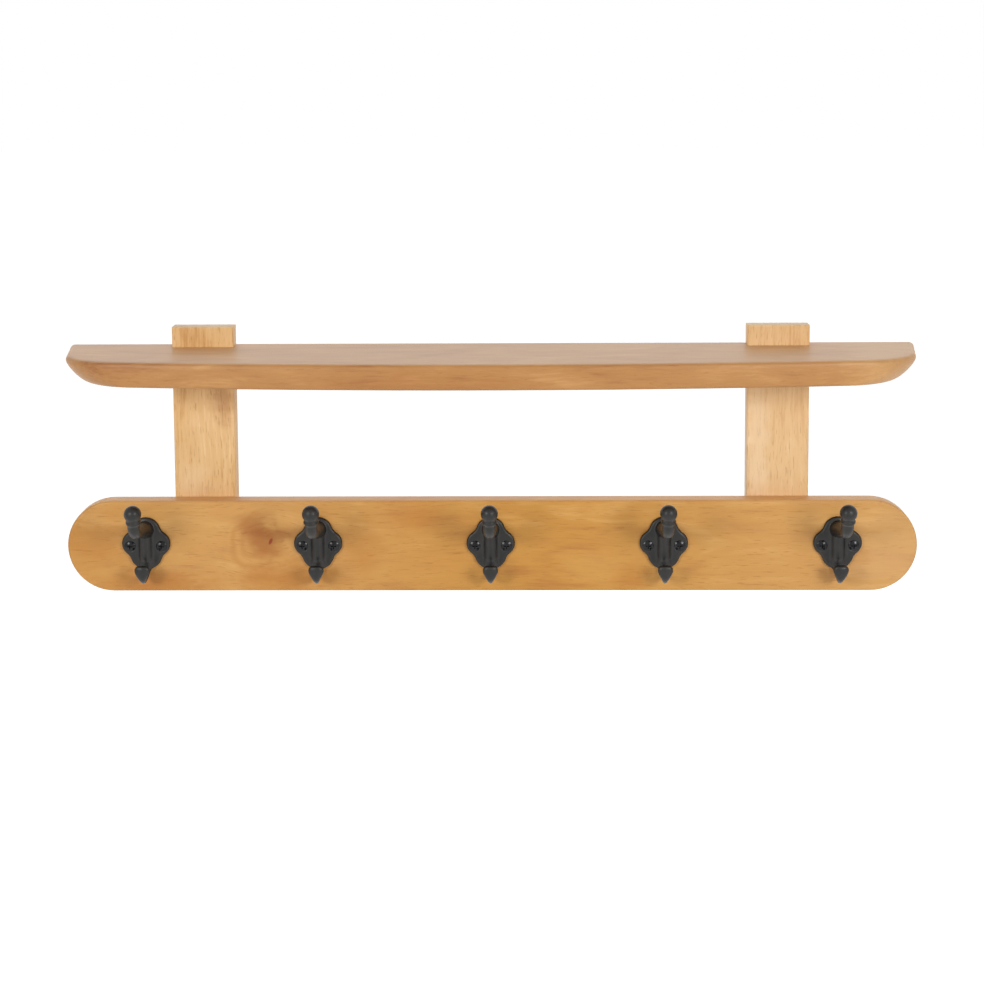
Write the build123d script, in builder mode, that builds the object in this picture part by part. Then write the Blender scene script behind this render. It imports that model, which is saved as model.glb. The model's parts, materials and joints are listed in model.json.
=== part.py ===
from build123d import *
import math
import os

os.makedirs("parts", exist_ok=True)

# A wall-hung coat rack of solid wood: a bow-fronted shelf over a round-ended
# rail, both carried by two flat uprights, with a row of cast double hooks.
#
# Frame: the wall is the plane y = 0 and the rack stands out of it towards -Y.
# +X runs to the right and +Z up.  The origin is the middle of the shelf's
# back edge, half way through its thickness.

# ---- boards -------------------------------------------------------------
rail_length = 800.0
rail_height = 87.0
rail_thickness = 18.0
rail_arris = 2.5

shelf_width = 802.0
shelf_depth = 120.0
shelf_thickness = 23.5
shelf_bow = 23.0            # how far the middle of the front stands out
shelf_end_slope = 9.6       # degrees: the ends close in towards the front
shelf_corner_radius = 58.0
shelf_top_round = 3.5       # front edge, upper rounding
shelf_bottom_round = 3.5    # front edge, lower rounding
shelf_end_top_round = 5.0
shelf_end_undercut = 19.0   # the ends are cut away this far underneath
shelf_end_fullness = 1.32   # of that cut: 1 is a flat bevel, 2 a quarter of an oval
outline_steps = 5           # outlines lofted through each stretch of the edge
saw_allowance = 2.0         # board behind the wall plane, before its back is sawn flat

upright_width = 58.0
upright_thickness = 18.0
upright_spacing = 542.0     # centre to centre
upright_rise = 19.0         # above the shelf's top
upright_tail = 78.0         # below the rail's upper edge, behind it
upright_arris = 1.0
back_arris = 0.8

rail_drop = 120.0           # shelf's underside to the rail's upper edge
notch_fit = 0.2             # air round an upright in its notch

# ---- cast hooks ---------------------------------------------------------
hook_count = 5
hook_end_margin = 75.0      # outermost hooks' middles from the rail's ends
hook_lift = 0.9             # screw line above the middle of the rail

plate_thickness = 4.0
plate_round = 2.0
screw_reach = 14.8          # screw hole from the hook's middle
ear_reach = 10.9            # middle of an ear's round end
ear_lift = 2.3              # above the screw line
ear_radius = 12.0
upper_lobe_radius = 13.7
upper_lobe_height = 13.8
lower_lobe_radius = 15.2
lower_lobe_drop = 7.7
lobe_blend = 12.5

rib_width = 14.5
rib_reach = 9.5             # out of the rail's face
rib_top = 22.0              # above the screw line
rib_bottom = 17.0           # below it
rib_blend = 3.6             # hollow rounding where it meets the plate

arm_diameter = 11.8
arm_flare = 2.2             # how much its root is thicker, all round
arm_flare_length = 26.0
arm_root_height = 15.5      # above the screw line, at the rail's face
arm_elbow_height = 25.5     # above the screw line, where it bends up
arm_bend = 12.0
arm_lean = 18.0             # degrees out of the upright
ball_diameter = 16.0
ball_reach = 58.0
ball_height = 44.8
bead_diameter = 14.2
bead_thickness = 5.0
bead_drop = 8.2             # from the ball's middle down the arm

prong_drop = 20.2           # middle of its bend, below the screw line
prong_bend = 9.6
prong_middle = 13.4         # middle of its bend, out of the rail's face
prong_thickness = 6.0
prong_root_width = 11.0
prong_foot_width = 4.6
prong_tip_width = 14.0
prong_root_rise = 7.5
prong_tip_rise = 6.6
prong_tip_taper = 2.4       # its last stretch, which closes in to the end
prong_end_width = 10.0
prong_end_thickness = 3.6
prong_stations = 6          # steps round its bend

# ---- screws -------------------------------------------------------------
pilot_fit = 0.1             # air round a shank, all round
recess_width = 1.0
recess_share = 0.6          # of the head's cone
point_share = 1.2           # a screw's point, in shank diameters
screw_angle = 90.0          # of a countersunk head's cone

hook_screw_head = 10.0
hook_screw_shank = 3.5
hook_screw_length = 16.0
hook_screw_dome = 1.3
hook_screw_recess = 5.0

board_screw_head = 8.0
board_screw_shank = 4.0
board_screw_spacing = 30.0
board_screw_sink = 1.0      # head's face below the upright's back
rail_screw_length = 28.0
shelf_screw_length = 45.0
board_screw_recess = 4.4

# ---- keyhole hangers ----------------------------------------------------
hanger_length = 45.0
hanger_width = 16.0
hanger_thickness = 2.0
hanger_below_shelf = 62.0   # its middle, under the shelf's underside
hanger_entry = 10.0
hanger_slot = 5.0
hanger_travel = 10.0
hanger_screw_spacing = 35.0
hanger_pocket_depth = 9.0
hanger_pocket_fit = 1.5     # room round the keyhole in the wood behind it
hanger_fit = 0.15
hanger_screw_head = 5.6
hanger_screw_shank = 2.6
hanger_screw_length = 12.0
hanger_screw_recess = 3.2

# ---- places worked out from them ----------------------------------------
shelf_z = 0.0
shelf_top_z = shelf_z + shelf_thickness / 2
shelf_bottom_z = shelf_z - shelf_thickness / 2
rail_top_z = shelf_bottom_z - rail_drop
rail_z = rail_top_z - rail_height / 2
rail_face = upright_thickness + rail_thickness
upright_top_z = shelf_top_z + upright_rise
upright_bottom_z = rail_top_z - upright_tail
upright_length = upright_top_z - upright_bottom_z
upright_middle_z = (upright_top_z + upright_bottom_z) / 2
upright_sides = {"left": -upright_spacing / 2, "right": upright_spacing / 2}
hanger_z = shelf_bottom_z - hanger_below_shelf
hook_z = rail_z + hook_lift
hook_pitch = (rail_length - 2 * hook_end_margin) / (hook_count - 1)
hook_places = [(i - (hook_count - 1) / 2) * hook_pitch for i in range(hook_count)]


def facing_front(x, out, z):
    """A plane that looks away from the wall, `out` millimetres in front of it."""
    return Plane(origin=(x, -out, z), x_dir=(1, 0, 0), z_dir=(0, -1, 0))


def facing_wall(x, out, z):
    """A plane that looks at the wall from `out` millimetres in front of it."""
    return Plane(origin=(x, -out, z), x_dir=(-1, 0, 0), z_dir=(0, 1, 0))


def keep(builder, label):
    """Name a finished piece and write it."""
    builder.part.label = label
    export_step(builder.part, f"parts/{label}.step")


# ---- screws -------------------------------------------------------------
def countersink_depth(head, shank):
    """How deep a countersunk head of the common angle goes."""
    return (head - shank) / 2 / math.tan(math.radians(screw_angle / 2))


def countersink(head, shank, depth):
    """The sizes of the hole for such a screw through a board this deep."""
    return shank / 2 + pilot_fit, head / 2 + pilot_fit, depth, screw_angle


def screw(head, shank, length, dome, recess):
    """A cross-recess screw along -Z, its head's rim at z = 0."""
    cone = countersink_depth(head, shank)
    rim = head / 2
    core = shank / 2
    point = point_share * shank
    with BuildPart() as body:
        with BuildSketch(Plane.XZ):
            with BuildLine():
                Polyline((0, dome), (0, -length), (core, -length + point), (core, -cone), (rim, 0))
                if dome > 0:
                    crown = (rim * rim + dome * dome) / (2 * dome)
                    half_way = math.sqrt(crown * crown - rim * rim / 4) - crown + dome
                    ThreePointArc((rim, 0), (rim / 2, half_way), (0, dome))
                else:
                    Line((rim, 0), (0, 0))
            make_face()
        revolve(axis=Axis.Z)
        with BuildSketch(Plane.XY.offset(-recess_share * cone)):
            Rectangle(recess, recess_width)
            Rectangle(recess_width, recess)
        extrude(amount=head, mode=Mode.SUBTRACT)
    return body.part


def screws_at(planes, label, *sizes):
    """One node of identical screws, each along its plane's inward normal."""
    one = screw(*sizes)
    with BuildPart() as group:
        with Locations(*planes):
            add(one)
    keep(group, label)


# ---- boards -------------------------------------------------------------
def shelf_outline(z, end_inset, front_inset):
    """The shelf's plan at one height: straight back, slanting ends, bowed front."""
    slope = math.tan(math.radians(shelf_end_slope))
    half = shelf_width / 2 - end_inset
    back_x = half + saw_allowance * slope
    corner_y = -(shelf_depth - shelf_bow - front_inset)
    corner_x = half + corner_y * slope
    middle_y = -(shelf_depth - front_inset)
    with BuildSketch(Plane.XY.offset(z)) as plan:
        with BuildLine():
            Polyline((-corner_x, corner_y), (-back_x, saw_allowance), (back_x, saw_allowance),
                     (corner_x, corner_y))
            ThreePointArc((corner_x, corner_y), (0, middle_y), (-corner_x, corner_y))
        make_face()
        fillet(plan.vertices().group_by(Axis.Y)[0], shelf_corner_radius)
    return plan.sketch


def quarter(reach, height, drop, fullness=2.0):
    """How far a rounding of this reach and height has closed in at a drop below its start."""
    share = min(max(drop / height, 0.0), 1.0)
    return reach * (1 - (1 - share ** fullness) ** (1 / fullness))


def shelf_levels():
    """Heights from the underside up, with the inset of the ends and of the front at each."""
    lip_z = shelf_bottom_z + shelf_bottom_round
    widest_z = shelf_top_z - shelf_end_top_round
    crest_z = shelf_top_z - shelf_top_round
    shares = [i / outline_steps for i in range(outline_steps + 1)]
    turns = [math.sin(share * math.pi / 2) for share in shares]
    lip = [lip_z - shelf_bottom_round * turn for turn in turns]
    straight = [lip_z + (crest_z - lip_z) * share for share in shares[1:-1]]
    crest = [crest_z + shelf_top_round * turn for turn in turns]
    for z in sorted(lip + straight + crest):
        end = quarter(shelf_end_undercut, widest_z - shelf_bottom_z, widest_z - z, shelf_end_fullness)
        end += quarter(shelf_end_top_round, shelf_end_top_round, z - widest_z)
        front = quarter(shelf_bottom_round, shelf_bottom_round, lip_z - z)
        front += quarter(shelf_top_round, shelf_top_round, z - crest_z)
        yield z, end, front


def ear_planes(x, out):
    """The two screw places of a hook whose middle is at x."""
    return [facing_front(x + dx, out, hook_z) for dx in (-screw_reach, screw_reach)]


def board_screw_planes(side_x, z):
    """Two screw places side by side, their heads let into the upright's back."""
    half = board_screw_spacing / 2
    return [facing_wall(side_x + dx, board_screw_sink, z) for dx in (-half, half)]


with BuildPart() as shelf_board:
    for level in shelf_levels():
        add(shelf_outline(*level))
    loft()
    split(bisect_by=Plane.XZ, keep=Keep.TOP)
    with BuildSketch(Plane.XY.offset(shelf_bottom_z)):
        for side_x in upright_sides.values():
            with Locations((side_x, 0)):
                Rectangle(upright_width + 2 * notch_fit, 2 * (upright_thickness + notch_fit))
    extrude(amount=shelf_thickness, mode=Mode.SUBTRACT)
    for side_x in upright_sides.values():
        with Locations(*board_screw_planes(side_x, shelf_z)):
            Hole(board_screw_shank / 2 + pilot_fit, shelf_screw_length + pilot_fit)
keep(shelf_board, "shelf_board")

with BuildPart() as rail_board:
    with BuildSketch(facing_front(0, upright_thickness, rail_z)):
        SlotOverall(rail_length, rail_height)
    extrude(amount=rail_thickness)
    fillet(rail_board.faces().sort_by(Axis.Y)[0].edges(), rail_arris)
    chamfer(rail_board.faces().sort_by(Axis.Y)[-1].edges(), back_arris)
    for x in hook_places:
        with Locations(*ear_planes(x, rail_face)):
            Hole(hook_screw_shank / 2 + pilot_fit, hook_screw_length - plate_thickness + pilot_fit)
    for side_x in upright_sides.values():
        with Locations(*board_screw_planes(side_x, rail_z)):
            Hole(board_screw_shank / 2 + pilot_fit, rail_screw_length + pilot_fit)
keep(rail_board, "rail_board")


# ---- uprights -----------------------------------------------------------
def hanger_screw_planes(side_x, out):
    """The two screw places of a hanger, one above the other."""
    half = hanger_screw_spacing / 2
    return [facing_wall(side_x, out, hanger_z + dz) for dz in (-half, half)]


entry_offset = -(hanger_travel + hanger_slot / 2 - hanger_entry / 2) / 2
entry_z = hanger_z + entry_offset

for side, side_x in upright_sides.items():
    with BuildPart() as upright:
        with BuildSketch(facing_front(side_x, 0, upright_middle_z)):
            Rectangle(upright_width, upright_length)
        extrude(amount=upright_thickness)
        chamfer(upright.faces().sort_by(Axis.Y)[-1].edges(), back_arris)
        fillet(upright.faces().sort_by(Axis.Y)[0].edges(), upright_arris)
        for z in (shelf_z, rail_z):
            with Locations(*board_screw_planes(side_x, z)):
                CounterSinkHole(*countersink(board_screw_head, board_screw_shank, upright_thickness))
        with BuildSketch(facing_wall(side_x, 0, hanger_z)):
            SlotOverall(hanger_length + 2 * hanger_fit, hanger_width + 2 * hanger_fit, rotation=90)
        extrude(amount=-hanger_thickness, mode=Mode.SUBTRACT)
        with BuildSketch(facing_wall(side_x, 0, entry_z)):
            room = hanger_entry + 2 * hanger_pocket_fit
            with Locations((0, hanger_travel / 2)):
                SlotCenterToCenter(hanger_travel, room, rotation=90)
        extrude(amount=-hanger_pocket_depth, mode=Mode.SUBTRACT)
        with Locations(*hanger_screw_planes(side_x, 0)):
            Hole(hanger_screw_shank / 2 + pilot_fit, hanger_screw_length + pilot_fit)
    keep(upright, f"{side}_upright")


# ---- keyhole hangers ----------------------------------------------------
for side, side_x in upright_sides.items():
    with BuildPart() as hanger:
        with BuildSketch(facing_wall(side_x, hanger_thickness, hanger_z)):
            SlotOverall(hanger_length, hanger_width, rotation=90)
        extrude(amount=hanger_thickness)
        with BuildSketch(facing_wall(side_x, hanger_thickness, entry_z)):
            Circle(hanger_entry / 2)
            with Locations((0, hanger_travel / 2)):
                SlotCenterToCenter(hanger_travel, hanger_slot, rotation=90)
        extrude(amount=hanger_thickness, mode=Mode.SUBTRACT)
        with Locations(*hanger_screw_planes(side_x, 0)):
            CounterSinkHole(*countersink(hanger_screw_head, hanger_screw_shank, hanger_thickness))
    keep(hanger, f"{side}_keyhole_plate")


# ---- cast hooks ---------------------------------------------------------
def hook_point(out, up):
    """A point on a hook's middle plane: out of the rail's face, above its screws."""
    return (0, -(rail_face + out), hook_z + up)


def prong_section(turn, rise, width, thickness=prong_thickness):
    """An oval across the lower prong: so far round its bend, in radians, and so far up from there."""
    out = prong_middle - prong_bend * math.cos(turn)
    up = rise - prong_drop - prong_bend * math.sin(turn)
    across = Plane(origin=hook_point(out, up), x_dir=(1, 0, 0), z_dir=(0, -math.sin(turn), -math.cos(turn)))
    with BuildSketch(across) as section:
        Ellipse(width / 2, thickness / 2)
    return section.sketch


def prong_width(turn):
    """The lower prong's width round its bend, which is least at the foot."""
    end_width = prong_root_width if turn < math.pi / 2 else prong_tip_width
    return prong_foot_width + (end_width - prong_foot_width) * (1 - math.sin(turn))


# The lower prong is a U, seen from the side.
with BuildPart() as lower_prong:
    add(prong_section(0, prong_root_rise, prong_root_width))
    for station in range(prong_stations + 1):
        station_turn = math.pi * station / prong_stations
        add(prong_section(station_turn, 0, prong_width(station_turn)))
    add(prong_section(math.pi, prong_tip_rise - prong_tip_taper, prong_tip_width))
    add(prong_section(math.pi, prong_tip_rise, prong_end_width, prong_end_thickness))
    loft()

# The rib is half of a round-ended bar, deepened to its reach.
with BuildPart() as rib:
    rib_straight = rib_top + rib_bottom - rib_width
    Cylinder(rib_width / 2, rib_straight)
    with Locations((0, 0, rib_straight / 2), (0, 0, -rib_straight / 2)):
        Sphere(rib_width / 2)
    scale(by=(1, 2 * rib_reach / rib_width, 1))
    split(bisect_by=Plane.XZ, keep=Keep.TOP)

with BuildPart() as hook:
    with BuildSketch(facing_front(0, rail_face, hook_z)) as backplate:
        with Locations((0, upper_lobe_height)):
            Circle(upper_lobe_radius)
        with Locations((0, -lower_lobe_drop)):
            Circle(lower_lobe_radius)
        with Locations((-ear_reach, ear_lift), (ear_reach, ear_lift)):
            Circle(ear_radius)
        fillet(backplate.vertices(), lobe_blend)
    extrude(amount=plate_thickness)
    fillet(hook.faces().sort_by(Axis.Y)[0].edges(), plate_round)
    with Locations(hook_point(0, (rib_top - rib_bottom) / 2)):
        add(rib.part)
    fillet(hook.edges(Select.NEW), rib_blend)
    # the arm, which runs out and bends up to the ball, with a bead below it
    lean = math.tan(math.radians(arm_lean))
    elbow = hook_point(ball_reach - (ball_height - arm_elbow_height) * lean, arm_elbow_height)
    ball_centre = hook_point(ball_reach, ball_height)
    with BuildLine() as arm_path:
        FilletPolyline(hook_point(plate_thickness / 2, arm_root_height), elbow, ball_centre, radius=arm_bend)
    arm_start = Plane(arm_path.line @ 0, z_dir=arm_path.line % 0)
    arm_end = Plane(arm_path.line @ 1, z_dir=arm_path.line % 1)
    with BuildSketch(arm_start):
        Circle(arm_diameter / 2)
    sweep()
    with BuildSketch(arm_start):
        Circle(arm_diameter / 2 + arm_flare)
    with BuildSketch(arm_start.offset(arm_flare_length)):
        Circle(arm_diameter / 2)
    loft()
    with Locations(arm_end.offset(-bead_drop)):
        Torus((bead_diameter - bead_thickness) / 2, bead_thickness / 2)
    with Locations(ball_centre):
        Sphere(ball_diameter / 2)
    add(lower_prong.part)
    with Locations(*ear_planes(0, rail_face + plate_thickness)):
        CounterSinkHole(*countersink(hook_screw_head, hook_screw_shank, plate_thickness))

for number, x in enumerate(hook_places, start=1):
    with BuildPart() as placed_hook:
        with Locations((x, 0, 0)):
            add(hook.part)
    keep(placed_hook, f"hook_{number}")
    screws_at(ear_planes(x, rail_face + plate_thickness), f"hook_{number}_screws",
              hook_screw_head, hook_screw_shank, hook_screw_length, hook_screw_dome, hook_screw_recess)

# ---- screws that come in from behind ------------------------------------
for side, side_x in upright_sides.items():
    screws_at(board_screw_planes(side_x, rail_z), f"{side}_rail_screws",
              board_screw_head, board_screw_shank, rail_screw_length, 0, board_screw_recess)
    screws_at(board_screw_planes(side_x, shelf_z), f"{side}_shelf_screws",
              board_screw_head, board_screw_shank, shelf_screw_length, 0, board_screw_recess)
    screws_at(hanger_screw_planes(side_x, 0), f"{side}_keyhole_screws",
              hanger_screw_head, hanger_screw_shank, hanger_screw_length, 0, hanger_screw_recess)
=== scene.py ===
# %% [markdown]
# # A wall rack with a shelf and five cast hooks
#
# The rack arrives as a ready-made frame: every board, hook and screw is already
# in its place, in metres.  The wall is the plane y = 0, the rack stands out of it
# towards -Y, +X runs to the right and +Z up.  This lesson dresses that frame.
# The boards and the screws keep their own meshes and are given a finish, and the
# hooks are turned into softer castings.

# %% Load the frame
import json
import math

import bpy
from mathutils import Matrix, Vector


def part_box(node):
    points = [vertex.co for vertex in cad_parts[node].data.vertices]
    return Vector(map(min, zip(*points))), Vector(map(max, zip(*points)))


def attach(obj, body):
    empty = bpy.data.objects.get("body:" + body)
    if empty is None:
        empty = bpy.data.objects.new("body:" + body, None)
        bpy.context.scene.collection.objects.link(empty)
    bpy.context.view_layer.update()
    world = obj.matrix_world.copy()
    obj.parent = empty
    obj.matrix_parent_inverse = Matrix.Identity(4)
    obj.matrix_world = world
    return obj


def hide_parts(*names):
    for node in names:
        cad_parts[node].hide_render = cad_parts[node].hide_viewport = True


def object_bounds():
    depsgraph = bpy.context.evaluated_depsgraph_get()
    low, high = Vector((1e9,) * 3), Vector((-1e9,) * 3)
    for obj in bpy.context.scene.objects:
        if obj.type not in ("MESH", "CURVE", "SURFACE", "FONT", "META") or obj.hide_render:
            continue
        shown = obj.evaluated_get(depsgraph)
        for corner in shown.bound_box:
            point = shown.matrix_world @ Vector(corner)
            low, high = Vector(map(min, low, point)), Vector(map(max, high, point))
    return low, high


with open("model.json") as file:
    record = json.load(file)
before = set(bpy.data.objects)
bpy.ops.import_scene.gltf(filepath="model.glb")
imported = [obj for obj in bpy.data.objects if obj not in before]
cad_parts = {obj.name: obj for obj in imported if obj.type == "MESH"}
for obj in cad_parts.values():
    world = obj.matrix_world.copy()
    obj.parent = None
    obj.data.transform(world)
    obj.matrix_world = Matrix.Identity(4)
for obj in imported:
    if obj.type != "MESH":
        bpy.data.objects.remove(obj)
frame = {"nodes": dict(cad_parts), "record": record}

MM = 0.001
frame_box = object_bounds()
rack_low, rack_high = frame_box
nodes = frame["nodes"]
rail_low, rail_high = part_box("rail_board")
rail_middle_z = (rail_low.z + rail_high.z) / 2
hook_names = [f"hook_{number}" for number in range(1, 6)]
print("loaded", len(nodes), "nodes; rack spans", tuple(round(v, 3) for v in rack_high - rack_low))

# %% [markdown]
# ## Camera
#
# A long lens from a little above the shelf shows the front with only a narrow
# strip of the tops.  The rack is to sit higher than the middle of the image.
# Tipping the camera further down would do that, but it would make the uprights
# lean together, so the lens is shifted instead.

# %% Camera
IMAGE_SIZE = 984
SENSOR_WIDTH = 36.0
FOCAL_PIXELS = 1852.2
OPTICAL_CENTRE_ROW = 226.95
CAMERA_PLACE = Vector((33.7, -1740.4, 295.55)) * MM
CAMERA_YAW = math.radians(-1.033)
CAMERA_PITCH = math.radians(5.669)
CAMERA_ROLL = math.radians(-0.342)


def camera_axes(yaw, pitch, roll):
    """The camera's right, up and backward directions."""
    level = math.cos(pitch)
    ahead = Vector((math.sin(yaw) * level, math.cos(yaw) * level, -math.sin(pitch)))
    level_right = Vector((math.cos(yaw), -math.sin(yaw), 0))
    level_up = level_right.cross(ahead)
    right = level_right * math.cos(roll) + level_up * math.sin(roll)
    up = level_up * math.cos(roll) - level_right * math.sin(roll)
    return right, up, -ahead


def add_camera():
    """The scene's camera, in its place."""
    data = bpy.data.cameras.new("front_camera")
    data.sensor_width = SENSOR_WIDTH
    data.lens = FOCAL_PIXELS / IMAGE_SIZE * SENSOR_WIDTH
    data.shift_y = (OPTICAL_CENTRE_ROW - IMAGE_SIZE / 2) / IMAGE_SIZE
    camera = bpy.data.objects.new("front_camera", data)
    axes = camera_axes(CAMERA_YAW, CAMERA_PITCH, CAMERA_ROLL)
    camera.matrix_world = Matrix.Translation(CAMERA_PLACE) @ Matrix(axes).transposed().to_4x4()
    bpy.context.scene.collection.objects.link(camera)
    bpy.context.scene.camera = camera
    return camera


camera = add_camera()
bpy.context.scene.view_settings.view_transform = "Standard"
print("camera with a", round(camera.data.lens, 1), "mm lens")

# %% [markdown]
# ## Sums with sockets
#
# A shader is a sum over a surface, and a sum reads best as one.  This class wraps
# a socket, so that `1 - mask * 0.5` adds the Math nodes that it needs.  One more
# method makes every other kind of node.


# %% A socket that takes part in sums
class Field:
    """A value that changes over a surface."""

    def __init__(self, tree, socket):
        self.tree = tree
        self.socket = socket

    def node(self, kind, settings, inputs, output=0):
        """Add a node: its settings first, then the values or links of its sockets."""
        made = self.tree.nodes.new(kind)
        for name, value in settings.items():
            setattr(made, name, value)
        for name, value in inputs.items():
            if isinstance(value, Field):
                self.tree.links.new(value.socket, made.inputs[name])
            else:
                made.inputs[name].default_value = value
        return Field(self.tree, made.outputs[output]) if made.outputs else None

    def maths(self, operation, first, second=0.0):
        """Add a Math node."""
        return self.node("ShaderNodeMath", {"operation": operation}, {0: first, 1: second})

    def __add__(self, other):
        return self.maths("ADD", self, other)

    def __radd__(self, other):
        return self.maths("ADD", other, self)

    def __sub__(self, other):
        return self.maths("SUBTRACT", self, other)

    def __rsub__(self, other):
        return self.maths("SUBTRACT", other, self)

    def __mul__(self, other):
        return self.maths("MULTIPLY", self, other)

    def __rmul__(self, other):
        return self.maths("MULTIPLY", other, self)

    def __pow__(self, other):
        return self.maths("POWER", self, other)


print("a Field adds, takes away, multiplies and raises to a power")

# %% [markdown]
# A few patterns come up again and again: a soft step, cloudy noise, a mix of two
# colours, a bump.  Each gets a helper of its own.  Colours are written as a screen
# shows them and turned into light once, in `paint`.


# %% Helpers for fields
def sine(angle):
    """The sine of a field of radians."""
    return angle.maths("SINE", angle)


def smooth(value, low, high):
    """0 below low, 1 above high, and a soft step between them.  low may be the larger."""
    sockets = {"Value": value, "From Min": low, "From Max": high, "To Min": 0.0, "To Max": 1.0}
    return value.node("ShaderNodeMapRange", {"interpolation_type": "SMOOTHSTEP"}, sockets)


def split(point):
    """The three parts of a point."""
    return [point.node("ShaderNodeSeparateXYZ", {}, {0: point}, part) for part in range(3)]


def join(x, y, z):
    """A point made of three fields."""
    return x.node("ShaderNodeCombineXYZ", {}, {"X": x, "Y": y, "Z": z})


def noise(point, per_metre, detail=4.0, roughness=0.5, distortion=0.0):
    """Cloudy noise with so many features per metre along each axis."""
    stretched = point.node("ShaderNodeVectorMath", {"operation": "MULTIPLY"},
                           {0: point, 1: per_metre})
    sockets = {"Vector": stretched, "Scale": 1.0, "Detail": detail,
               "Roughness": roughness, "Distortion": distortion}
    return stretched.node("ShaderNodeTexNoise", {}, sockets)


MIX_FACTOR, MIX_FIRST_COLOUR, MIX_SECOND_COLOUR, MIX_COLOUR_RESULT = 0, 6, 7, 2


def blend(mask, first, second):
    """The first colour where the mask is 0, the second where it is 1."""
    sockets = {MIX_FACTOR: mask, MIX_FIRST_COLOUR: first, MIX_SECOND_COLOUR: second}
    return mask.node("ShaderNodeMix", {"data_type": "RGBA"}, sockets, MIX_COLOUR_RESULT)


def paint(red, green, blue):
    """A colour as a screen shows it, from 0 to 255, turned into light."""
    shares = [value / 255 for value in (red, green, blue)]
    return (*[v / 12.92 if v <= 0.04045 else ((v + 0.055) / 1.055) ** 2.4 for v in shares], 1.0)


def start_material(name):
    """An empty material, and the point on the surface that its pattern is worked out from."""
    material = bpy.data.materials.new(name)
    material.use_nodes = True
    material.node_tree.nodes.clear()
    place = material.node_tree.nodes.new("ShaderNodeTexCoord")
    return material, Field(material.node_tree, place.outputs["Object"])


def finish_surface(place, sockets):
    """Close a material with a surface shader."""
    surface = place.node("ShaderNodeBsdfPrincipled", {}, sockets)
    place.node("ShaderNodeOutputMaterial", {}, {"Surface": surface})


def relief(place, height, distance):
    """The surface's normal, roughened by a field."""
    sockets = {"Height": height, "Distance": distance, "Strength": 1.0}
    return place.node("ShaderNodeBump", {}, sockets)


print("shader helpers ready")

# %% [markdown]
# ## Oiled wood
#
# A board is a slice of a long bundle of fibres.  A picture of wood wrapped round
# it would stretch at the edges and show the wrong thing on the ends.  So the
# pattern is worked out in the solid, in a space that is stretched along the grain:
# the same streak then runs over an edge, and the ends show its cut dots.  Four
# layers make it: broad clouds of tone, streaks a few centimetres long, fibres as
# fine as hair, and short dark flecks where a pore was cut open.  The grain runs
# in slow waves.

# %% Wood helpers
WAVES_PER_METRE = (7.0, 16.0, 16.0)
WAVE_HEIGHT = 12 * MM
CLOUDS_PER_METRE = (11.0, 34.0, 34.0)
STREAKS_PER_METRE = (28.0, 380.0, 380.0)
DARK_LEVEL, MIDDLE_LEVEL, LIGHT_LEVEL = 0.3, 0.5, 0.7
FIBRES_PER_METRE = (55.0, 1500.0, 1500.0)
FLECKS_PER_METRE = (78.0, 880.0, 880.0)
FLECK_EDGE = 0.1


def along_grain(place, axis):
    """A point whose first part runs along the grain, which wanders a little."""
    x, y, z = split(place)
    along, across = (x, z) if axis == "X" else (z, x)
    wave = noise(join(along, y, across), WAVES_PER_METRE, detail=1.0) - 0.5
    return join(along, y, across + wave * WAVE_HEIGHT)


def wood_tone(point, tones, streak_share):
    """The wood's colour from dark to light, by cloud and streak."""
    dark, middle, light = tones
    cloud = noise(point, CLOUDS_PER_METRE, detail=2.5, distortion=0.7)
    streak = noise(point, STREAKS_PER_METRE, detail=4.0, roughness=0.6, distortion=0.3)
    level = cloud * (1 - streak_share) + streak * streak_share
    lower = blend(smooth(level, DARK_LEVEL, MIDDLE_LEVEL), dark, middle)
    return blend(smooth(level, MIDDLE_LEVEL, LIGHT_LEVEL), lower, light)


def fibres(point):
    """Lines as fine as hair."""
    return noise(point, FIBRES_PER_METRE, detail=3.0, roughness=0.7)


def flecks(point, share):
    """Short dark strokes: 1 in a cut pore and 0 elsewhere."""
    edge = 1.0 - share
    return smooth(noise(point, FLECKS_PER_METRE, detail=2.0), edge, edge + FLECK_EDGE)


print("four layers of wood, the finest with", round(FIBRES_PER_METRE[1] * MM, 1),
      "fibres to the millimetre")

# %% [markdown]
# A knot is where a branch left the trunk.  The fibres part round it, its rings
# are closed instead of long, and its heart is a small dark tick.  Rings drawn as
# true circles look like a target, so noise pushes their distance from the middle
# about and they fade out on the right.

# %% The knot
KNOT_X = -207.5 * MM
KNOT_Z = rail_middle_z + 4.6 * MM
KNOT_REACH = 38 * MM
PARTING_REACH = KNOT_REACH * 1.4
PARTING_WOBBLE = 7 * MM
PARTING_SHARE = 0.75
RINGS_X = KNOT_X - 10 * MM
RING_SPACING = 10.5 * MM
RING_WOBBLE = 34 * MM
RINGS_RIGHT_EDGE = KNOT_X + 38 * MM
RINGS_FULL_X = KNOT_X - 12 * MM
RING_DEPTH = 0.3
RING_COLOUR = paint(176, 108, 40)
HEART_TILT = math.radians(66)
HEART_LENGTH = 3.4 * MM
HEART_WIDTH = 1.5 * MM
HEART_EDGE, HEART_CORE = 1.4, 0.4
HEART_DEPTH = 0.92
HEART_COLOUR = paint(140, 46, 0)
WOBBLES_PER_METRE = (24.0, 24.0, 24.0)


def distance_from(place, x_middle, z_middle, wobble_height):
    """Distance from a line through the board, pushed about by noise."""
    x, _, z = split(place)
    across = x - x_middle
    up = z - z_middle
    wobble = noise(place, WOBBLES_PER_METRE, detail=2.5) - 0.5
    return (across * across + up * up) ** 0.5 + wobble * wobble_height


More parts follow.
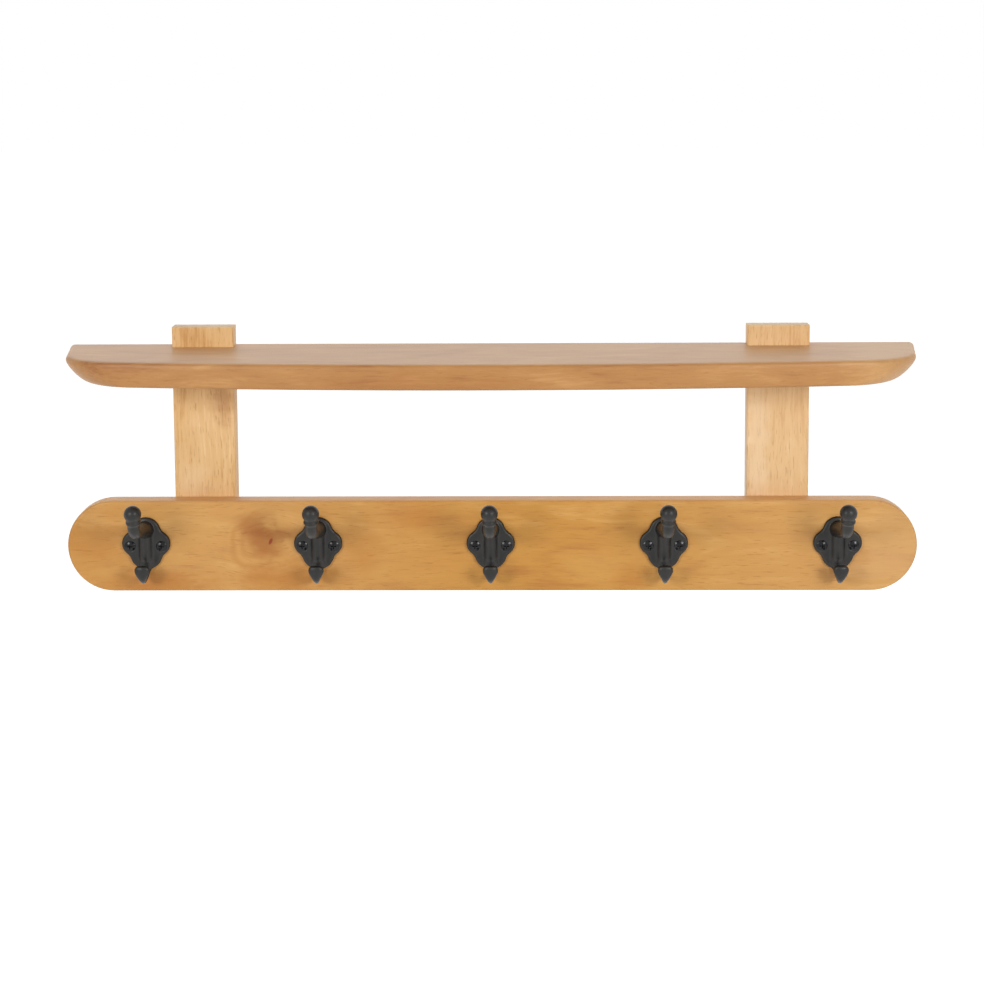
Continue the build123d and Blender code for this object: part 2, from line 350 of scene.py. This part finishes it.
def part_round_knot(place):
    """The same point, moved so that the streaks part round the knot."""
    x, y, z = split(place)
    near = smooth(distance_from(place, KNOT_X, KNOT_Z, PARTING_WOBBLE), PARTING_REACH, 0.0)
    return join(x, y, z - (z - KNOT_Z) * near * PARTING_SHARE)


def paint_rings(place, colour):
    """The board's colour with the knot's faint rings on it."""
    x, _, _ = split(place)
    distance = distance_from(place, RINGS_X, KNOT_Z, RING_WOBBLE)
    rings = sine(distance * (2 * math.pi / RING_SPACING)) * 0.5 + 0.5
    left_side = smooth(x, RINGS_RIGHT_EDGE, RINGS_FULL_X)
    swirl = smooth(distance, KNOT_REACH, KNOT_REACH * 0.5) * left_side * rings
    return blend(swirl * RING_DEPTH, colour, RING_COLOUR)


def paint_heart(place, colour):
    """The board's colour with the knot's heart on it, a short tilted tick."""
    x, _, z = split(place)
    across, up = x - KNOT_X, z - KNOT_Z
    along = (across * math.cos(HEART_TILT) + up * math.sin(HEART_TILT)) * (1 / HEART_LENGTH)
    aside = (up * math.cos(HEART_TILT) - across * math.sin(HEART_TILT)) * (1 / HEART_WIDTH)
    heart = smooth(along * along + aside * aside, HEART_EDGE, HEART_CORE)
    return blend(heart * HEART_DEPTH, colour, HEART_COLOUR)


print("the knot's heart lies", round(KNOT_X, 4), "m along and", round(KNOT_Z, 4), "m up")

# %% [markdown]
# A board is never one tone.  Resin stains the wood round the knot, and heartwood
# and sapwood leave browner and paler places.  Two dark patches are painted shade
# instead: a painted shadow below and left of the fourth hook, and painted shade on
# the left upright just under the shelf.  More noise would scatter them anywhere,
# so they are placed one by one: each is an oval whose edge is made ragged by noise.

# %% Patches of another tone
# A dark red-brown for the resin stains, and also for the painted shade on the left upright.
STAIN_AND_SHADE = paint(156, 84, 10)
BROWN = paint(180, 108, 22)
HONEY = paint(224, 170, 88)
PALE = paint(230, 184, 124)
CREAM = paint(252, 226, 190)

# Middle of each patch along the rack and above the rail's middle, half its length
# and half its height, all in millimetres; then its strength and its colour.
RAIL_PATCHES = (
    (-225, 19, 15, 12, 0.42, STAIN_AND_SHADE),
    (-196, 12, 22, 8, 0.55, STAIN_AND_SHADE),
    (-213, 2, 20, 19, 0.65, STAIN_AND_SHADE),
    (-188, -30, 52, 17, 0.6, BROWN),
    (-372, 6, 46, 30, 0.35, BROWN),
    (-318, -38, 66, 15, 0.6, BROWN),
    (-120, -2, 22, 26, 0.3, BROWN),
    (-68, 26, 34, 18, 0.4, BROWN),
    # Painted shadow: darkens the rail below and left of the fourth hook, where its shadow falls.
    (131, -32, 20, 14, 0.4, BROWN),
    (93, -20, 38, 22, 0.35, HONEY),
    (374, -10, 44, 46, 0.35, PALE),
)
SHELF_PATCHES = (
    (368, 175, 50, 60, 0.34, PALE),
    (-60, 165, 120, 16, 0.25, STAIN_AND_SHADE),
)
UPRIGHT_PATCHES = (
    (271, 110, 60, 200, 0.17, CREAM),
    (252, 90, 12, 90, 0.36, CREAM),
    (-282, 58, 22, 24, 0.22, CREAM),
    # Painted shade: the left upright is darkened just under the shelf.
    (-252, 132, 14, 26, 0.45, STAIN_AND_SHADE),
)
RAGS_PER_METRE = (32.0, 70.0, 70.0)
RAG_DEPTH = 1.6
PATCH_EDGE, PATCH_CORE = 1.25, 0.2


def paint_patches(place, colour, patches):
    """The board's colour with its ragged patches on it."""
    x, _, z = split(place)
    rags = noise(place, RAGS_PER_METRE, detail=3.0, roughness=0.6) - 0.5
    for x_middle, above, half_length, half_height, strength, tone in patches:
        along = (x - x_middle * MM) * (1 / (half_length * MM))
        aside = (z - (rail_middle_z + above * MM)) * (1 / (half_height * MM))
        reach = (along * along + aside * aside) ** 0.5 + rags * RAG_DEPTH
        colour = blend(smooth(reach, PATCH_EDGE, PATCH_CORE) * strength, colour, tone)
    return colour


print("patches:", len(RAIL_PATCHES), "on the rail,", len(SHELF_PATCHES), "on the shelf,",
      len(UPRIGHT_PATCHES), "on the uprights")

# %% [markdown]
# The three kinds of board are oiled alike and differ only in tone, in how streaky
# they are and in how glossy the oil has dried.  So one function makes all three
# finishes.  The oil is a thin coat over the wood, and the hair-fine fibres roughen
# both its gloss and its surface.

# %% Three boards' finishes
PALENESS_TURN = 11.0      # radians for each metre along the rail
PALENESS_START = 4.2      # radians, in the rail's middle
PALENESS_DEPTH = 0.32
PALE_END = paint(224, 176, 118)
# Painted light on the upper face: how far below it the paler paint starts and is full, and how
# strong it is.
TOP_START, TOP_FULL = 1.2 * MM, 0.2 * MM      # below the upper face
PAINTED_TOP_LIGHT = 0.16
FIBRE_START = 0.35
FIBRE_DEPTH = 0.45
FIBRE_HEIGHT = 0.05 * MM
FLECK_SINK = 0.8          # of a fibre's height
FLECK_COLOUR = paint(156, 88, 16)


def pale_ends(place, colour):
    """The rail's colour, paler and pinker towards its ends."""
    x, _, _ = split(place)
    paleness = sine(x * PALENESS_TURN + PALENESS_START) * 0.5 + 0.5
    return blend(paleness * PALENESS_DEPTH, colour, PALE_END)


def paint_top_light(place, colour, top_z):
    """The board's colour with painted light: its upper face, which the lamps only graze, is
    painted a little paler.
    """
    _, _, z = split(place)
    return blend(smooth(z, top_z - TOP_START, top_z - TOP_FULL) * PAINTED_TOP_LIGHT, colour, CREAM)


def oiled_wood(name, grain_axis, tones, streak_share, fleck_share, fleck_depth, coat_weight,
               patches, top_z, knotted=False):
    """A wood's finish with its patches, with or without the knot."""
    material, place = start_material(name)
    point = along_grain(part_round_knot(place) if knotted else place, grain_axis)
    colour = wood_tone(point, tones, streak_share)
    if knotted:
        colour = pale_ends(place, colour)
    hair = fibres(point)
    fleck = flecks(point, fleck_share)
    colour = blend((hair - FIBRE_START) * FIBRE_DEPTH, colour, tones[0])
    colour = blend(fleck * fleck_depth, colour, FLECK_COLOUR)
    colour = paint_patches(place, colour, patches)
    if knotted:
        colour = paint_heart(place, paint_rings(place, colour))
    # Painted light: the upper face is painted paler than the rest of the board.
    colour = paint_top_light(place, colour, top_z)
    finish_surface(place, {
        "Base Color": colour,
        "Roughness": hair * 0.12 + 0.45,
        "Specular IOR Level": 0.38,
        "Coat Weight": coat_weight,
        "Coat Roughness": 0.42,
        "Normal": relief(place, hair - fleck * FLECK_SINK, FIBRE_HEIGHT),
    })
    return material


rail_tones = (paint(185, 122, 50), paint(204, 145, 61), paint(220, 166, 88))
shelf_tones = (paint(162, 104, 54), paint(187, 132, 72), paint(205, 151, 91))
upright_tones = (paint(206, 153, 90), paint(232, 190, 132), paint(245, 208, 157))
rail_finish = oiled_wood("oiled_rail_wood", "X", rail_tones, streak_share=0.3, fleck_share=0.4,
                         fleck_depth=0.3, coat_weight=0.2, patches=RAIL_PATCHES, top_z=rail_high.z,
                         knotted=True)
shelf_finish = oiled_wood("oiled_shelf_wood", "X", shelf_tones, streak_share=0.4, fleck_share=0.38,
                          fleck_depth=0.3, coat_weight=0.3, patches=SHELF_PATCHES,
                          top_z=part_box("shelf_board")[1].z)
upright_finish = oiled_wood("oiled_upright_wood", "Z", upright_tones, streak_share=0.5,
                            fleck_share=0.41, fleck_depth=0.4, coat_weight=0.1,
                            patches=UPRIGHT_PATCHES, top_z=rack_high.z)
print("three wood finishes")

# %% [markdown]
# ## Cast iron
#
# A casting has no sharp inner corners: the molten iron rounds every one, and the
# sand leaves a faint orange peel.  Bevels could round the joins one by one, but
# corners where an arm, a rib and a plate all meet are hard for them.  So each
# hook's mesh is rebuilt from small voxels and eased, which rounds all its joins at
# once by a millimetre or two.

# %% Castings
VOXEL = 0.5 * MM
EASE_STEPS = 32


def cast(name):
    """A softened casting that stands for a hook's node."""
    piece = bpy.data.objects.new(f"{name}_casting", nodes[name].data.copy())
    bpy.context.scene.collection.objects.link(piece)
    remesh = piece.modifiers.new("rebuild", "REMESH")
    remesh.mode = "VOXEL"
    remesh.voxel_size = VOXEL
    ease = piece.modifiers.new("ease", "SMOOTH")
    ease.factor = 0.5
    ease.iterations = EASE_STEPS
    depsgraph = bpy.context.evaluated_depsgraph_get()
    settled = bpy.data.meshes.new_from_object(piece.evaluated_get(depsgraph))
    piece.modifiers.clear()
    piece.data = settled
    for face in settled.polygons:
        face.use_smooth = True
    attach(piece, "root")
    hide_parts(name)
    return piece


castings = [cast(name) for name in hook_names]
print("cast", len(castings), "hooks,", len(castings[0].data.polygons), "faces each")

# %% [markdown]
# The hooks wear a satin black coat, and their own screws a glossier one, so that
# each head shows a glint.  The screws behind are yellow zinc and the hangers bright
# zinc.  A perfectly even metal looks like plastic, so noise clouds every one of
# them a little in colour and in gloss.

# %% Metal finishes
GRIT_PER_METRE = (700.0, 700.0, 700.0)
GRIT_HEIGHT = 0.12 * MM
DULL_SPOTS_PER_METRE = (90.0, 90.0, 90.0)
PLATING_CLOUDS_PER_METRE = (260.0, 260.0, 260.0)


def black_iron():
    """A satin black coat on sand-cast iron."""
    material, place = start_material("black_cast_iron")
    grit = noise(place, GRIT_PER_METRE, detail=4.0, roughness=0.6)
    patch = noise(place, DULL_SPOTS_PER_METRE, detail=3.0)
    finish_surface(place, {
        "Base Color": blend(smooth(patch, 0.4, 0.65), paint(15, 14, 12), paint(27, 25, 22)),
        "Roughness": grit * 0.2 + 0.34,
        "Specular IOR Level": 0.38,
        "Coat Weight": 0.06,
        "Coat Roughness": 0.2,
        "Normal": relief(place, grit, GRIT_HEIGHT),
    })
    return material


def plated_steel(name, dull, bright, metallic, roughness):
    """A screw's or a plate's steel, with the faint clouding of its plating."""
    material, place = start_material(name)
    cloud = noise(place, PLATING_CLOUDS_PER_METRE, detail=3.0)
    finish_surface(place, {
        "Base Color": blend(smooth(cloud, 0.35, 0.65), dull, bright),
        "Metallic": metallic,
        "Roughness": cloud * 0.12 + roughness,
    })
    return material


iron = black_iron()
black_screw = plated_steel("black_screw_steel", paint(24, 24, 25), paint(36, 36, 38),
                           metallic=0.6, roughness=0.14)
zinc_screw = plated_steel("yellow_zinc_steel", paint(196, 176, 112), paint(222, 206, 150),
                          metallic=1.0, roughness=0.28)
zinc_plate = plated_steel("bright_zinc_steel", paint(176, 178, 182), paint(204, 206, 210),
                          metallic=1.0, roughness=0.3)
print("four metal finishes")

# %% [markdown]
# ## Every node gets its finish
#
# The record says which slot each node takes its finish from, so one table of
# slots dresses them all and no node can be forgotten.

# %% Dress the nodes
finish_of_slot = {
    "rail_wood": rail_finish,
    "shelf_wood": shelf_finish,
    "upright_wood": upright_finish,
    "hook_iron": iron,
    "hook_screw_steel": black_screw,
    "board_screw_steel": zinc_screw,
    "hanger_steel": zinc_plate,
}


def dress(piece, finish):
    """Give a piece one finish all over."""
    piece.data.materials.clear()
    piece.data.materials.append(finish)


for subpart in frame["record"]["subparts"]:
    dress(nodes[subpart["node"]], finish_of_slot[subpart["material_slot"]])
for piece in castings:
    dress(piece, iron)

# %% [markdown]
# ## Studio
#
# Two soft lamps stand in front, one to each side and only a little above the rack,
# so that their light reaches in under the shelf.  They stand near: each end of the
# rail then gets most of its light from its own side.  A broad pale screen behind
# the rack lights the tops of the boards.

# %% Lamps
LAMP_AIM = Vector((0, rack_low.y / 2, (rack_low.z + rack_high.z) / 2))


def add_lamp(name, place, size, watts):
    """A square soft lamp that faces the rack."""
    data = bpy.data.lights.new(name, "AREA")
    data.size = size
    data.energy = watts
    lamp = bpy.data.objects.new(name, data)
    lamp.location = place
    lamp.rotation_euler = (LAMP_AIM - Vector(place)).to_track_quat("-Z", "Y").to_euler()
    bpy.context.scene.collection.objects.link(lamp)


add_lamp("left_lamp", (-1.0, -1.4, 0.33), size=0.5, watts=9.3)
add_lamp("right_lamp", (1.0, -1.4, 0.33), size=0.5, watts=10.8)
add_lamp("back_screen", (0, 0.9, 0.7), size=2.4, watts=7.2)
print("three lamps")

# %% [markdown]
# An even room fills the rest of the light.  The floor is well below the rack and
# keeps its shadow.  A room and a floor bright enough to look white would flood the
# rack with light, so they are white only to the rays that show them.

# %% Room and floor
ROOM_LIGHT = 0.34
FLOOR_DROP = 0.45
FLOOR_SIZE = 30.0
FLOOR_GLOW = 0.75


def shown(tree):
    """1 for the rays that show a thing: seen, mirrored or through glass."""
    rays = tree.nodes.new("ShaderNodeLightPath")
    seen, mirrored, through = [Field(tree, rays.outputs[f"Is {kind} Ray"])
                               for kind in ("Camera", "Glossy", "Transmission")]
    return seen.maths("MAXIMUM", seen.maths("MAXIMUM", seen, mirrored), through)


def light_room():
    """An even room: pale to light things, white where it is seen or mirrored."""
    world = bpy.data.worlds.new("pale_room")
    bpy.context.scene.world = world
    world.use_nodes = True
    tree = world.node_tree
    tree.nodes.clear()
    view = shown(tree)
    room = {"Color": (1.0, 1.0, 1.0, 1.0), "Strength": view * (1 - ROOM_LIGHT) + ROOM_LIGHT}
    background = view.node("ShaderNodeBackground", {}, room)
    view.node("ShaderNodeOutputWorld", {}, {"Surface": background})


def lay_floor():
    """A white floor that keeps the rack's shadow."""
    half = FLOOR_SIZE / 2
    z = rack_low.z - FLOOR_DROP
    mesh = bpy.data.meshes.new("floor")
    corners = [(-half, -half, z), (half, -half, z), (half, half, z), (-half, half, z)]
    mesh.from_pydata(corners, [], [(0, 1, 2, 3)])
    floor = bpy.data.objects.new("floor", mesh)
    bpy.context.scene.collection.objects.link(floor)
    material, place = start_material("white_floor")
    view = shown(material.node_tree)
    matt = place.node("ShaderNodeBsdfDiffuse", {}, {"Color": (0.9, 0.9, 0.9, 1.0)})
    white = {"Color": (1.0, 1.0, 1.0, 1.0), "Strength": view * FLOOR_GLOW}
    glow = place.node("ShaderNodeEmission", {}, white)
    both = place.node("ShaderNodeAddShader", {}, {0: matt, 1: glow})
    place.node("ShaderNodeOutputMaterial", {}, {"Surface": both})
    floor.data.materials.append(material)


light_room()
lay_floor()
print("a pale room, and a floor", FLOOR_DROP, "m below the rack")

# %% [markdown]
# ## End

# %% Finish
print("the rack is dressed")
